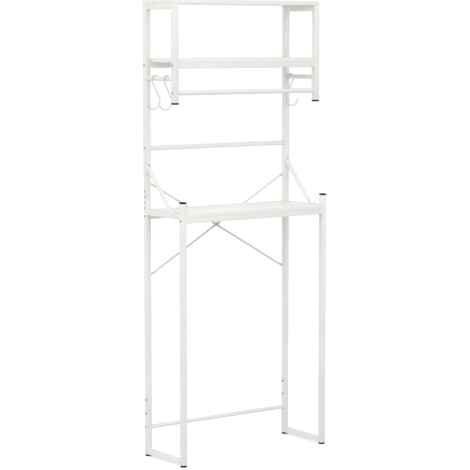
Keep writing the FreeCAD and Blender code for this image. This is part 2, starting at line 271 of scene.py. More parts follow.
def makeEdgeBand():
    # extruded ABS band, scraped flush after gluing: a little glossier, faint lines run along it
    material, tree, shader, place = startMaterial("absEdgeBand", {"IOR": 1.53, "Metallic": 0.0})
    alongBoard = (edgeBand["stretch"], edgeBand["stretch"], 1.0)
    flat = addNode(tree, "ShaderNodeMapping", {"Scale": alongBoard}, {"Vector": place})
    lines = addNode(tree, "ShaderNodeTexNoise", {"Scale": perMetre(edgeBand["line"]), "Detail": 2.0},
                    {"Vector": flat.outputs["Vector"]}).outputs["Fac"]
    tint(tree, shader, lines, edgeBand["dark"], edgeBand["light"])
    roughen(tree, shader, lines, 0.28, 0.36)
    emboss(tree, shader, lines, edgeBand["lineDepth"] * mm, 0.5)
    return material


def makeMoulded(name, dark, light, grain, depth, rough, shine=0.5):
    # injection-moulded plastic from a spark-eroded tool: a fine even grain that dulls the gloss
    material, tree, shader, place = startMaterial(name, {"IOR": 1.5, "Metallic": 0.0,
                                                         "Specular IOR Level": shine})
    spark = addNode(tree, "ShaderNodeTexNoise", {"Scale": perMetre(grain), "Detail": 4.0, "Roughness": 0.7},
                    {"Vector": place}).outputs["Fac"]
    tint(tree, shader, spark, dark, light)
    roughen(tree, shader, spark, rough - 0.06, rough + 0.08)
    emboss(tree, shader, spark, depth * mm, 0.7)
    return material


# painted shade: bare oxide inside the tubes, drawn near-black so the insides and the drilled holes read as
# shaded
darkScaleAndShade = {"dark": "#0B0B0B", "light": "#161514", "blotch": 4, "blotchDepth": 0.05}


def makeDarkScaleAndShade():
    # the inside of a rolled and seam-welded tube: dark oxide scale, blotchy, with no coat on it; drawn
    # near-black, darker than bare scale, as painted shade for the unlit inside and the hole bores
    material, tree, shader, place = startMaterial("darkScaleAndShadeSteel", {"IOR": 1.5, "Metallic": 0.3,
                                                                     "Specular IOR Level": 0.2})
    blotch = addNode(tree, "ShaderNodeTexNoise", {"Scale": perMetre(darkScaleAndShade["blotch"]), "Detail": 5.0},
                     {"Vector": place}).outputs["Fac"]
    tint(tree, shader, blotch, darkScaleAndShade["dark"], darkScaleAndShade["light"])
    roughen(tree, shader, blotch, 0.6, 0.85)
    emboss(tree, shader, blotch, darkScaleAndShade["blotchDepth"] * mm, 0.6)
    return material


plated = {"turning": 0.5, "turningDepth": 0.01, "cloud": 6}


def makePlated(name, dark, light, rough):
    # steel turned on a lathe and zinc plated: a dull silver metal with faint turning marks
    material, tree, shader, place = startMaterial(name, {"Metallic": 1.0})
    turning = addNode(tree, "ShaderNodeTexNoise",
                      {"Scale": perMetre(plated["turning"]), "Detail": 3.0, "Distortion": 0.4},
                      {"Vector": place}).outputs["Fac"]
    cloud = addNode(tree, "ShaderNodeTexNoise", {"Scale": perMetre(plated["cloud"]), "Detail": 3.0},
                    {"Vector": place}).outputs["Fac"]
    tint(tree, shader, cloud, dark, light)
    roughen(tree, shader, turning, rough - 0.07, rough + 0.1)
    emboss(tree, shader, turning, plated["turningDepth"] * mm, 0.5)
    return material


darkScaleAndShadeSteel = makeDarkScaleAndShade()
melamineFacedBoard = makeMelamine()
absEdgeBand = makeEdgeBand()
polyethyleneCap = makeMoulded("polyethyleneCap", "#0C0D0C", "#141514", grain=0.7, depth=0.03, rough=0.58,
                              shine=0.12)
mouldedFoot = makeMoulded("mouldedFoot", "#101010", "#191919", grain=0.9, depth=0.04, rough=0.6, shine=0.2)
mouldedCollar = makeMoulded("mouldedCollar", "#E3E4DF", "#EBECE7", grain=0.8, depth=0.02, rough=0.42)
mouldedNylon = makeMoulded("mouldedNylon", "#D9D8CF", "#E3E2DA", grain=0.8, depth=0.02, rough=0.45)
zincPlatedScrew = makePlated("zincPlatedScrew", "#B4B3AF", "#C6C5C1", 0.34)
zincPlatedSleeve = makePlated("zincPlatedSleeve", "#A9A9A6", "#BDBDBA", 0.40)
print("stage: finishes made")


# Square tube.
squareTube = {"corner": 1.6, "cornerSteps": 5, "wall": 1.2, "endBreak": 0.25}


def hollowEnds(item, along, wall):          # cuts both ends open and walls the inside
    pick(item, "FACE", lambda face: abs(face.normal[along]) > 0.99)
    bpy.ops.mesh.inset(thickness=wall, depth=0)
    bpy.ops.mesh.delete(type="FACE")
    pick(item, "EDGE", lambda edge: len(edge.link_faces) == 1)
    bpy.ops.mesh.bridge_edge_loops()


def makeSquareTube(node):
    low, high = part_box(node)
    size = high - low
    along = max(range(3), key=lambda axis: size[axis])
    bpy.ops.mesh.primitive_cube_add(size=1, location=(low + high) / 2, scale=size)
    item = bpy.context.object
    settle(item)
    openEdit(item)
    pick(item, "EDGE", lambda edge: abs((edge.verts[0].co - edge.verts[1].co).normalized()[along]) > 0.99)
    bpy.ops.mesh.bevel(offset=squareTube["corner"] * mm, segments=squareTube["cornerSteps"],
                       affect="EDGES")
    pick(item, "EDGE", lambda edge: sum(abs(face.normal[along]) > 0.99 for face in edge.link_faces) == 1)
    bpy.ops.mesh.bevel(offset=squareTube["endBreak"] * mm, segments=2, affect="EDGES")
    hollowEnds(item, along, (squareTube["wall"] - squareTube["endBreak"]) * mm)
    holdOnly(item)
    return item


def darkenInsideAndBores(item, material):             # the powder doesn't reach the inside of a tube; the near-black inside and hole bores are also painted shade
    low = Vector([min(corner[axis] for corner in item.bound_box) for axis in range(3)])
    high = Vector([max(corner[axis] for corner in item.bound_box) for axis in range(3)])
    middle = (low + high) / 2
    along = max(range(3), key=lambda axis: high[axis] - low[axis])
    reach = min(high - low) / 2 - 0.8 * squareTube["wall"] * mm
    sideways = [axis for axis in range(3) if axis != along]
    item.data.materials.append(material)
    for face in item.data.polygons:
        away = [item.data.vertices[number].co - middle for number in face.vertices]
        inner = all(abs(part[axis]) < reach for part in away for axis in sideways)
        centre, normal = face.center - middle, face.normal.copy()
        between = low[along] + mm < face.center[along] < high[along] - mm
        sunk = max(abs(centre[axis] * normal[axis]) for axis in sideways) < 0.5 * reach
        # painted shade: the bores of the drilled holes get the near-black inside finish too
        boreWall = between and sunk and abs(normal[along]) > 0.05 and len(face.vertices) == 4
        if inner or boreWall:
            face.material_index = 1


def drillThrough(item, centre, along, radius, length):
    turn = Vector(along).to_track_quat("Z", "Y").to_euler()
    bpy.ops.mesh.primitive_cylinder_add(vertices=32, radius=radius, depth=length, location=centre,
                                        rotation=turn)
    cutAway(item, bpy.context.object)


spareHoles = {"radius": 3.5, "pitch": 50, "count": 2, "drillLength": 30}
boardScrews = {"bite": 10, "access": 5, "fromRailEnd": 110, "fromBarEnd": 40}


def boardScrewPlaces(node):                 # where the screws of a board go up through a tube
    low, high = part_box(node)
    middle = (low + high) / 2
    if node.endswith("_rail"):
        reach = high.x - boardScrews["fromRailEnd"] * mm
        return [Vector((sign * reach, middle.y, high.z)) for sign in (-1, 1)]
    inset = boardScrews["fromBarEnd"] * mm
    return [Vector((middle.x, y, high.z)) for y in (low.y + inset, high.y - inset)]


boardTubes = ["lower_shelf_front_rail", "lower_shelf_rear_rail", "middle_shelf_front_rail",
              "middle_shelf_rear_rail", "left_top_bar", "right_top_bar"]
plainTubes = [side + ending for side in sides for ending in
              ("_lower_front_post", "_bottom_runner", "_shelf_side_rail", "_upper_rear_post", "_drop_post")]
for node in plainTubes:
    darkenInsideAndBores(finishPiece(makeSquareTube(node), node, powderCoatedSteel), darkScaleAndShadeSteel)
for node in boardTubes:
    boardTube = makeSquareTube(node)
    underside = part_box(node)[0].z
    for place in boardScrewPlaces(node):    # a hole in the lower wall lets the screw in
        place.z = underside
        drillThrough(boardTube, place, zAxis, boardScrews["access"] * mm, 4 * squareTube["wall"] * mm)
    darkenInsideAndBores(finishPiece(boardTube, node, powderCoatedSteel), darkScaleAndShadeSteel)
barHeight = middleOf("rear_stabiliser_bar").z
for side in sides:
    node = side + "_lower_rear_post"
    rearPost = makeSquareTube(node)
    for step in range(1, spareHoles["count"] + 1):
        place = middleOf(node)
        place.z = barHeight + step * spareHoles["pitch"] * mm
        drillThrough(rearPost, place, xAxis, spareHoles["radius"] * mm, spareHoles["drillLength"] * mm)
    darkenInsideAndBores(finishPiece(rearPost, node, powderCoatedSteel), darkScaleAndShadeSteel)
print("stage: square tubes made")


# Round bars and collars.
roundBar = {"wall": 1.2, "points": 48, "endBreak": 0.3}


def makeRing(low, high, along, wall, points, endBreak):   # a turned ring or tube filling a box
    size = high - low
    across = size[(along + 1) % 3]
    turn = (xAxis, yAxis, zAxis)[along].to_track_quat("Z", "Y").to_euler()
    bpy.ops.mesh.primitive_cylinder_add(vertices=points, radius=across / 2, depth=size[along],
                                        location=(low + high) / 2, rotation=turn)
    item = bpy.context.object
    settle(item)
    openEdit(item)
    pick(item, "EDGE", lambda edge: sum(abs(face.normal[along]) > 0.99 for face in edge.link_faces) == 1)
    bpy.ops.mesh.bevel(offset=endBreak, segments=3, affect="EDGES")
    hollowEnds(item, along, wall - endBreak)
    holdOnly(item)
    return item


crossBars = ("rear_stabiliser_bar", "rear_towel_bar", "front_towel_bar")
for node in crossBars + ("left_hook_rod", "right_hook_rod"):
    low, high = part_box(node)
    along = 1 if node.endswith("rod") else 0
    bar = makeRing(low, high, along, roundBar["wall"] * mm, roundBar["points"], roundBar["endBreak"] * mm)
    finishPiece(bar, node, powderCoatedSteel)

collar = {"rodClearance": 0.02, "rimBreak": 0.9}

collars = []
groupLow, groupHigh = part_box("hook_rod_collars")
reach = (groupHigh.z - groupLow.z) / 2
for side in sides:
    rodLow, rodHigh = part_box(side + "_hook_rod")
    middle = middleOf(side + "_hook_rod")
    low = Vector((middle.x - reach, groupLow.y, middle.z - reach))
    high = Vector((middle.x + reach, groupHigh.y, middle.z + reach))
    wall = reach - (rodHigh.x - rodLow.x) / 2 - collar["rodClearance"] * mm
    collars.append(makeRing(low, high, 1, wall, roundBar["points"], collar["rimBreak"] * mm))
finishPiece(joined(collars, "collars"), "hook_rod_collars", mouldedCollar)
print("stage: round bars made")


# Shelf boards: a faced panel inside a glued edge band.
shelfBoard = {"band": 1.0, "joint": 0.12, "bandRound": 0.8, "panelBreak": 0.15}


def makeBoard(node):
    low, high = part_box(node)
    inset = Vector((1, 1, 0)) * shelfBoard["band"] * mm
    bpy.ops.mesh.primitive_cube_add(size=1, location=(low + high) / 2, scale=high - low)
    band = bpy.context.object
    settle(band)
    openEdit(band)
    pick(band, "EDGE", lambda edge: abs(edge.verts[0].co.z - edge.verts[1].co.z) > 0.001)
    bpy.ops.mesh.bevel(offset=1.5 * shelfBoard["bandRound"] * mm, segments=4, affect="EDGES")
    pick(band, "EDGE", lambda edge: sum(abs(face.normal.z) > 0.99 for face in edge.link_faces) == 1)
    bpy.ops.mesh.bevel(offset=0.6 * shelfBoard["bandRound"] * mm, segments=4, affect="EDGES")
    hollowEnds(band, 2, (shelfBoard["band"] - 0.6 * shelfBoard["bandRound"]) * mm)
    finishPiece(band, node, absEdgeBand, name=pieceName(node) + "EdgeBand")
    gap = Vector((1, 1, 0)) * shelfBoard["joint"] * mm
    size = high - low - 2 * inset - 2 * gap
    bpy.ops.mesh.primitive_cube_add(size=1, location=(low + high) / 2, scale=size)
    panel = bpy.context.object
    settle(panel)
    openEdit(panel)
    pick(panel, "EDGE", lambda edge: True)
    bpy.ops.mesh.bevel(offset=shelfBoard["panelBreak"] * mm, segments=2, affect="EDGES")
    finishPiece(panel, node, melamineFacedBoard)


for node in ("lower_shelf_board", "middle_shelf_board", "top_shelf_board"):
    makeBoard(node)
print("stage: shelf boards made")


# Pressed bars: brace rods and struts.
pressedBar = {"cornerSteps": 7, "blend": 6, "roundness": 0.94}


def cornerRadius(section):
    return min(section[3], section[4]) / 2 * pressedBar["roundness"]


def cornerCentre(section, signs):           # the middle of one of a section's four round corners
    centre, across, through, width, thick = section
    inset = cornerRadius(section)
    return centre + across * signs[0] * (width / 2 - inset) + through * signs[1] * (thick / 2 - inset)


def reshapeEnd(item, before, after):        # turns the new end's four corners into the next outline
    shape = bmesh.from_edit_mesh(item.data)
    shape.verts.index_update()
    ring = {vert.index: vert.co - after[0] for vert in shape.verts if vert.select}
    start = (after[0], after[1], after[2], before[3], before[4])
    share = cornerRadius(after) / cornerRadius(start)
    for signs in ((1, 1), (-1, 1), (-1, -1), (1, -1)):
        corner = {index for index, away in ring.items()
                  if away.dot(after[1]) * signs[0] > 0 and away.dot(after[2]) * signs[1] > 0}
        pick(item, "VERT", lambda vert: vert.index in corner)
        centre = cornerCentre(start, signs)
        bpy.ops.transform.resize(value=(share, share, share), center_override=centre)
        bpy.ops.transform.translate(value=cornerCentre(after, signs) - centre)
    pick(item, "FACE", lambda face: all(vert.index in ring for vert in face.verts))


def turnWay(before, after):                 # operators run without a window turn the other way
    return -1 if before[2].cross(after[2]).x > 0 else 1


def sweepPressed(name, sections):
    # each section is its centre, its two directions, its width and its thickness: a rounded
    # rectangle that is nearly round on the bar and flat with rounded sides on a tab
    centre, across, through, width, thick = sections[0]
    bpy.ops.mesh.primitive_plane_add(size=1)
    item = bpy.context.object
    item.name = name
    facing = Matrix((across, through, across.cross(through))).transposed().to_4x4()
    item.matrix_world = Matrix.Translation(centre) @ facing @ Matrix.Diagonal((width, thick, 1, 1))
    settle(item)
    openEdit(item)
    bpy.ops.mesh.select_all(action="SELECT")
    bpy.ops.mesh.bevel(offset=cornerRadius(sections[0]), segments=pressedBar["cornerSteps"],
                       affect="VERTICES")
    bpy.ops.mesh.select_all(action="SELECT")
    for before, after in zip(sections, sections[1:]):
        bpy.ops.mesh.extrude_region_move(TRANSFORM_OT_translate={"value": after[0] - before[0]})
        lean = before[2].angle(after[2])
        if lean > 0.0001:
            bpy.ops.transform.rotate(value=lean * turnWay(before, after), orient_axis="X",
                                     center_override=after[0])
        reshapeEnd(item, before, after)
    holdOnly(item)
    return item


def easeBetween(first, last, steps):        # sections that pass smoothly from one to another
    made = []
    for step in range(1, steps):
        share = step / steps
        soft = share * share * (3 - 2 * share)
        centre = first[0].lerp(last[0], share)
        across = first[1].lerp(last[1], share).normalized()
        through = first[2].lerp(last[2], share).normalized()
        made.append((centre, across, through, first[3] + (last[3] - first[3]) * soft,
                     first[4] + (last[4] - first[4]) * soft))
    return made


def roundTip(centre, outward, across, through, width, thick):   # the rounded end of a flat tab
    made = []
    for angle in (4, 20, 38, 56, 72, 90):
        lean = math.radians(angle)
        place = centre + outward * (width / 2) * math.cos(lean)
        made.append((place, across, through, max(width * math.sin(lean), thick * 0.6), thick))
    return made


def fullSections(stations, startWay, endWay):      # tip, stations with soft changes between, tip
    first, last = stations[0], stations[-1]
    sections = roundTip(first[0], startWay, *first[1:])[:-1]
    for station, following in zip(stations, stations[1:]):
        sections.append(station)
        if station[4] != following[4]:
            sections += easeBetween(station, following, pressedBar["blend"])
    sections.append(last)
    return sections + roundTip(last[0], endWay, *last[1:])[-2::-1]


braceRod = {"diameter": 7.5, "tab": 2, "tabWidth": 10.5, "endFlat": 16, "centreFlat": 12.5, "press": 12}


def makeBraceRod(node, rise, centreShift):
    low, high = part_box(node)
    tab, width = braceRod["tab"] * mm, braceRod["tabWidth"] * mm
    full, press = braceRod["diameter"] * mm, braceRod["press"] * mm
    postX = middleOf("right_upper_rear_post").x
    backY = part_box("right_upper_rear_post")[1].y
    reach = (high - low) / 2
    middle = Vector((0, high.y - full / 2, (low.z + high.z) / 2))
    halfHeight = reach.z - width / 2
    along = Vector((postX, 0, rise * halfHeight)).normalized()
    across = along.cross(yAxis) * -1
    half = math.hypot(postX, halfHeight)
    endShift = backY + tab / 2 - middle.y
    endFlat, centreFlat = braceRod["endFlat"] * mm, braceRod["centreFlat"] * mm
    shift = centreShift * tab / 2

    def flat(distance, sideStep):
        return (middle + along * distance + yAxis * sideStep, across, yAxis, width, tab)

    def whole(distance):
        return (middle + along * distance, across, yAxis, full, full)

    stations = [flat(-half, endShift), flat(endFlat - half, endShift), whole(endFlat + press - half),
                whole(-centreFlat - press), flat(-centreFlat, shift), flat(centreFlat, shift),
                whole(centreFlat + press), whole(half - endFlat - press), flat(half - endFlat, endShift),
                flat(half, endShift)]
    rod = sweepPressed(node, fullSections(stations, -along, along))
    finishPiece(rod, node, shadeGreyedBraceCoat, angle=50)


makeBraceRod("falling_brace_rod", -1, -1)
makeBraceRod("rising_brace_rod", 1, 1)

strut = {"diameter": 15, "tab": 3, "tabWidth": 17, "topFlat": 14, "footFlat": 31, "bend": 26,
         "offset": 0.3}


def makeStrut(side):
    node = side + "_strut"
    low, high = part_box(node)
    tab, width, wide = strut["tab"] * mm, strut["tabWidth"] * mm, strut["diameter"] * mm
    x = middleOf(node).x
    top = Vector((x, high.y - tab / 2, high.z - width / 2))
    foot = Vector((x, low.y + width / 2, low.z + tab / 2))
    topEnd = top - zAxis * strut["topFlat"] * mm
    footStart = foot + yAxis * strut["footFlat"] * mm
    slope = (footStart - topEnd).normalized()
    normal = slope.cross(xAxis)
    clear = normal * (wide / 2 - tab / 2) * strut["offset"]
    fullTop = topEnd + slope * strut["bend"] * mm + clear
    fullFoot = footStart - slope * strut["bend"] * mm + clear
    stations = [(top, xAxis, yAxis, width, tab), (topEnd, xAxis, yAxis, width, tab),
                (fullTop, xAxis, -normal, wide, wide), (fullFoot, xAxis, -normal, wide, wide),
                (footStart, xAxis, -zAxis, width, tab), (foot, xAxis, -zAxis, width, tab)]
    bar = sweepPressed(node, fullSections(stations, zAxis, -yAxis))
    finishPiece(bar, node, powderCoatedSteel, angle=50)


for side in sides:
    makeStrut(side)
print("stage: brace and struts made")


# S hooks: one wire, bent twice round a former.
hookWire = {"gauge": 4, "upperRadius": 13.5, "lowerRadius": 28, "tipAngle": -5, "endAngle": 168,
            "lean": 6.7, "drop": 78, "points": 20, "bendSteps": 34}


def closeRound(item, radius, heading, rings=5):     # finishes a wire's selected end with a dome
    before = 0.0
    for ring in range(1, rings + 1):
        angle = math.radians(88) * ring / rings
        step = heading * radius * (math.sin(angle) - math.sin(before))
        bpy.ops.mesh.extrude_region_move(TRANSFORM_OT_translate={"value": step})
        chosen = [vert.co for vert in bmesh.from_edit_mesh(item.data).verts if vert.select]
        centre = sum(chosen, Vector()) / len(chosen)
        share = math.cos(angle) / math.cos(before)
        bpy.ops.transform.resize(value=(share, share, share), center_override=centre)
        before = angle


def makeHook(node, sign):
    low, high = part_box(node)
    wire = hookWire["gauge"] * mm / 2
    upperRound, lowerRound = hookWire["upperRadius"] * mm, hookWire["lowerRadius"] * mm
    lean, drop = hookWire["lean"] * mm, hookWire["drop"] * mm
    inward = xAxis * -sign
    rod = middleOf(("left" if sign < 0 else "right") + "_hook_rod")
    upper = Vector((rod.x, (low.y + high.y) / 2, high.z - wire - upperRound))
    lower = upper - inward * lean - zAxis * drop
    run = math.sqrt(lean ** 2 + drop ** 2 - (upperRound + lowerRound) ** 2)
    tilt = math.atan2(-drop, -lean) - math.atan2(-run, -(upperRound + lowerRound))
    tip, leave = math.radians(hookWire["tipAngle"]), math.pi + tilt
    finish = -math.radians(hookWire["endAngle"])

    def around(centre, radius, angle):
        return centre + inward * radius * math.cos(angle) + zAxis * radius * math.sin(angle)

    def heading(angle):
        return zAxis * math.cos(angle) - inward * math.sin(angle)

    turn = heading(tip).to_track_quat("Z", "Y").to_euler()
    bpy.ops.mesh.primitive_circle_add(vertices=hookWire["points"], radius=wire, fill_type="NGON",
                                      location=around(upper, upperRound, tip), rotation=turn)
    item = bpy.context.object
    settle(item)
    openEdit(item)
    bpy.ops.mesh.select_mode(type="FACE")
    bpy.ops.mesh.select_all(action="SELECT")
    spinWay = -sign                          # turning about +Y lifts the inner side of one rod only
    bends = hookWire["bendSteps"]
    bpy.ops.mesh.spin(steps=bends, angle=(leave - tip) * spinWay, center=upper, axis=yAxis)
    straight = around(lower, lowerRound, tilt) - around(upper, upperRound, leave)
    bpy.ops.mesh.extrude_region_move(TRANSFORM_OT_translate={"value": straight})
    bpy.ops.mesh.spin(steps=bends, angle=(finish - tilt) * spinWay, center=lower, axis=yAxis)
    closeRound(item, wire, -heading(finish))
    pick(item, "FACE", lambda face: len(face.verts) > 4
         and (face.calc_center_median() - around(upper, upperRound, tip)).length < wire / 4)
    closeRound(item, wire, -heading(tip))
    finishPiece(item, node, shadeGreyedWireCoat, angle=60)


makeHook("left_rear_s_hook", -1)
makeHook("left_front_s_hook", -1)
makeHook("right_s_hook", 1)
print("stage: hooks made")


# Black caps in the open post ends.
cap = {"corner": 1.6, "crown": 1.2, "plugWall": 1.25, "plugLength": 12, "fins": 3,
       "finPinch": 0.93}


def makeCap(node, up):
    low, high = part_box(node)
    headLow = low.z + cap["plugLength"] * mm if up > 0 else low.z
    headHigh = headLow + (high.z - low.z) - cap["plugLength"] * mm
    size = Vector((high.x - low.x, high.y - low.y, headHigh - headLow))
    centre = Vector(((low.x + high.x) / 2, (low.y + high.y) / 2, (headLow + headHigh) / 2))
    bpy.ops.mesh.primitive_cube_add(size=1, location=centre, scale=size)
    item = bpy.context.object
    settle(item)
    openEdit(item)
    pick(item, "EDGE", lambda edge: abs(edge.verts[0].co.z - edge.verts[1].co.z) > 0.001)
    bpy.ops.mesh.bevel(offset=cap["corner"] * mm, segments=5, affect="EDGES")
    outer = headHigh if up > 0 else headLow
    pick(item, "EDGE", lambda edge: all(abs(vert.co.z - outer) < 1e-6 for vert in edge.verts)
         and any(abs(face.normal.z) < 0.1 for face in edge.link_faces))
    bpy.ops.mesh.bevel(offset=cap["crown"] * mm, segments=5, affect="EDGES")
    pick(item, "FACE", lambda face: face.normal.z * up < -0.99)
    bpy.ops.mesh.inset(thickness=cap["plugWall"] * mm, depth=0)
    finStep = cap["plugLength"] * mm / (2 * cap["fins"])
    for step in range(2 * cap["fins"]):     # soft fins that grip the inside of the tube
        bpy.ops.mesh.extrude_region_move(TRANSFORM_OT_translate={"value": (0, 0, -up * finStep)})
        share = cap["finPinch"] if step % 2 == 0 else 1 / cap["finPinch"]
        bpy.ops.transform.resize(value=(share, share, 1), center_override=centre)
    holdOnly(item)
    return finishPiece(item, node, polyethyleneCap, angle=40)


for side in sides:
    makeCap(side + "_front_post_cap", 1)
    makeCap(side + "_drop_post_cap", -1)
print("stage: caps made")


# Levelling feet: a pad with a gripped rim, a hexagon and a threaded stud.
foot = {"rimHeight": 4.2, "notches": 24, "notchDepth": 0.5, "hexAcross": 13, "studRadius": 3.0,
        "threadPitch": 1.25, "threadDepth": 0.5, "turnSteps": 16, "lip": 1.2,
        "padBreak": 0.5, "hexBreak": 0.3, "studBreak": 0.8}


def makeStud(centre, bottom, top, radius):          # a core with a thread wound round it
    deep = foot["threadDepth"] * mm
    core = radius - deep
    pitch = foot["threadPitch"] * mm
    bpy.ops.mesh.primitive_cylinder_add(vertices=24, radius=core, depth=top - bottom,
                                        location=(centre.x, centre.y, (top + bottom) / 2))
    stud = bpy.context.object
    settle(stud)
    openEdit(stud)
    pick(stud, "EDGE", lambda edge: all(abs(vert.co.z - top) < 1e-6 for vert in edge.verts))
    bpy.ops.mesh.bevel(offset=foot["studBreak"] * mm, segments=2, affect="EDGES")
    holdOnly(stud)
    crest = (centre.x + radius - 0.6 * deep, centre.y, bottom + 0.6 * pitch)
    bpy.ops.mesh.primitive_circle_add(vertices=3, radius=1.24 * deep, fill_type="NGON",
                                      location=crest, rotation=(math.pi / 2, 0, 0))
    thread = bpy.context.object
    settle(thread)
    openEdit(thread)
    pick(thread, "FACE", lambda face: True)
    bpy.ops.transform.rotate(value=math.pi / 2, orient_axis="Y", center_override=crest)
    axis = Vector((centre.x, centre.y, 0))
    turns = int((top - bottom - 2.2 * pitch) / pitch)           # the thread stops short of both ends
    rise, turn = pitch / foot["turnSteps"], 2 * math.pi / foot["turnSteps"]
    for step in range(turns * foot["turnSteps"]):
        bpy.ops.mesh.extrude_region_move(TRANSFORM_OT_translate={"value": (0, 0, rise)})
        bpy.ops.transform.rotate(value=-turn, orient_axis="Z", center_override=axis)
    holdOnly(thread)
    return joined([thread, stud], "stud")


def makeFoot(node, studMaster):
    low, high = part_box(node)
    centre = (low + high) / 2
    radius = (high.x - low.x) / 2
    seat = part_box("left_lower_front_post")[0].z
    rim = foot["rimHeight"] * mm
    bpy.ops.mesh.primitive_cylinder_add(vertices=4 * foot["notches"], radius=radius, depth=rim,
                                        location=(centre.x, centre.y, low.z + rim / 2))
    pad = bpy.context.object
    settle(pad)
    openEdit(pad)
    pick(pad, "EDGE", lambda edge: all(abs(vert.co.z - low.z) < 1e-6 for vert in edge.verts))
    bpy.ops.mesh.bevel(offset=foot["lip"] * mm, segments=3, affect="EDGES")
    pick(pad, "EDGE", lambda edge: all(abs(vert.co.z - low.z - rim) < 1e-6 for vert in edge.verts))
    bpy.ops.mesh.bevel(offset=foot["padBreak"] * mm, segments=2, affect="EDGES")

    def inNotch(vert):                      # every fourth column of the rim is pressed in
        away = vert.co - centre
        column = math.degrees(math.atan2(away.y, away.x)) * foot["notches"] / 360 % 1
        return abs(column - 0.5) < 0.1 and math.hypot(away.x, away.y) > radius - 0.3 * mm

    pick(pad, "VERT", inNotch)
    share = 1 - foot["notchDepth"] * mm / radius
    bpy.ops.transform.resize(value=(share, share, 1), center_override=centre)
    holdOnly(pad)
    height = seat - low.z - rim + 0.2 * mm
    bpy.ops.mesh.primitive_cylinder_add(vertices=6, radius=foot["hexAcross"] * mm / 2, depth=height,
                                        location=(centre.x, centre.y, seat - height / 2))
    nut = bpy.context.object
    settle(nut)
    openEdit(nut)
    pick(nut, "EDGE", lambda edge: True)
    bpy.ops.mesh.bevel(offset=foot["hexBreak"] * mm, segments=2, affect="EDGES")
    finishPiece(nut, node, mouldedFoot, name=pieceName(node) + "Hexagon", stands=False)
    stud = copyTo(studMaster, Vector((centre.x, centre.y, 0)), -zAxis)
    finishPiece(stud, node, zincPlatedScrew, angle=50, name=pieceName(node) + "Stud", stands=False)
    finishPiece(pad, node, mouldedFoot, angle=30)


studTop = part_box("left_front_foot")[1].z
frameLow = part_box("left_lower_front_post")[0].z
studMaster = makeStud(Vector(), frameLow - 0.3 * mm, studTop, foot["studRadius"] * mm)
for side in sides:
    for end in ("front", "rear"):
        makeFoot(side + "_" + end + "_foot", studMaster)
discard(studMaster)
print("stage: feet made")


# Screws and bolts.
boltShape = {"head": 4.6, "height": 1.8, "shank": 3.0, "key": 4.0, "socket": 1.15, "round": 0.8}
screwShape = {"head": 3.9, "height": 1.8, "shank": 2.0, "key": 3.0, "socket": 1.1, "round": 0.85}


def makeFastener(shape, length):            # the head's seat is at the origin, the shank goes down
    top = shape["height"] * mm
    bpy.ops.mesh.primitive_cylinder_add(vertices=48, radius=shape["head"] * mm, depth=top,
                                        location=(0, 0, top / 2))
    item = bpy.context.object
    settle(item)
    openEdit(item)
    pick(item, "EDGE", lambda edge: all(abs(vert.co.z - top) < 1e-6 for vert in edge.verts))
    bpy.ops.mesh.bevel(offset=shape["round"] * mm, segments=5, affect="EDGES")
    pick(item, "FACE", lambda face: face.normal.z < -0.99)
    bpy.ops.mesh.inset(thickness=(shape["head"] - shape["shank"]) * mm, depth=0)
    point = 0.8 * mm                        # the tapered end of the shank
    for step in (length - point, point):
        bpy.ops.mesh.extrude_region_move(TRANSFORM_OT_translate={"value": (0, 0, -step)})
    bpy.ops.transform.resize(value=(0.75, 0.75, 1), center_override=(0, 0, 0))
    holdOnly(item)
    bpy.ops.mesh.primitive_cylinder_add(vertices=6, radius=shape["key"] * mm / math.sqrt(3),
                                        depth=2 * shape["socket"] * mm, location=(0, 0, top))
    cutAway(item, bpy.context.object)
    return item


def setFasteners(node, shape, length, seats):       # one master, copied to each seat
    master = makeFastener(shape, length)
    copies = [copyTo(master, seat, inward, spin=0.9 * number)
              for number, (seat, inward) in enumerate(seats)]
    discard(master)
    return joined(copies, pieceName(node))


postLow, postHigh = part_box("right_upper_rear_post")
postMiddle = middleOf("right_upper_rear_post")
backY = postHigh.y
tubeSize = postHigh.x - postLow.x

rails = [tube for tube in boardTubes if tube.endswith("_rail")]
sleeveLow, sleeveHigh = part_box("sleeve_screws")
sleeveStep = (sleeveHigh.z - sleeveLow.z - 2 * screwShape["head"] * mm) / 3
braceLow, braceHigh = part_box("rising_brace_rod")
braceReach = (braceHigh.z - braceLow.z) / 2 - braceRod["tabWidth"] * mm / 2
railSeats, barSeats, rodSeats, sleeveSeats, strutSeats, braceSeats = [], [], [], [], [], []
for side, sign in sides.items():
    outerX, postX = postHigh.x * sign, postMiddle.x * sign
    inward = xAxis * -sign
    for group, seats in ((rails, railSeats), (crossBars, barSeats)):
        for member in group:
            centre = middleOf(member)
            seats.append((Vector((outerX, centre.y, centre.z)), inward))
    rod = middleOf(side + "_hook_rod")
    rodSeats.append((Vector((rod.x, backY, rod.z)), -yAxis))
    for step in range(4):
        z = sleeveLow.z + screwShape["head"] * mm + step * sleeveStep
        sleeveSeats.append((Vector((outerX, postMiddle.y, z)), inward))
    low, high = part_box(side + "_strut")
    tab, half = strut["tab"] * mm, strut["tabWidth"] * mm / 2
    strutX = middleOf(side + "_strut").x
    strutSeats.append((Vector((strutX, high.y - tab, high.z - half)), yAxis))
    strutSeats.append((Vector((strutX, low.y + half, low.z + tab)), -zAxis))
    for level in (-1, 1):
        z = (braceLow.z + braceHigh.z) / 2 + level * braceReach
        braceSeats.append((Vector((postX, backY + braceRod["tab"] * mm, z)), -yAxis))

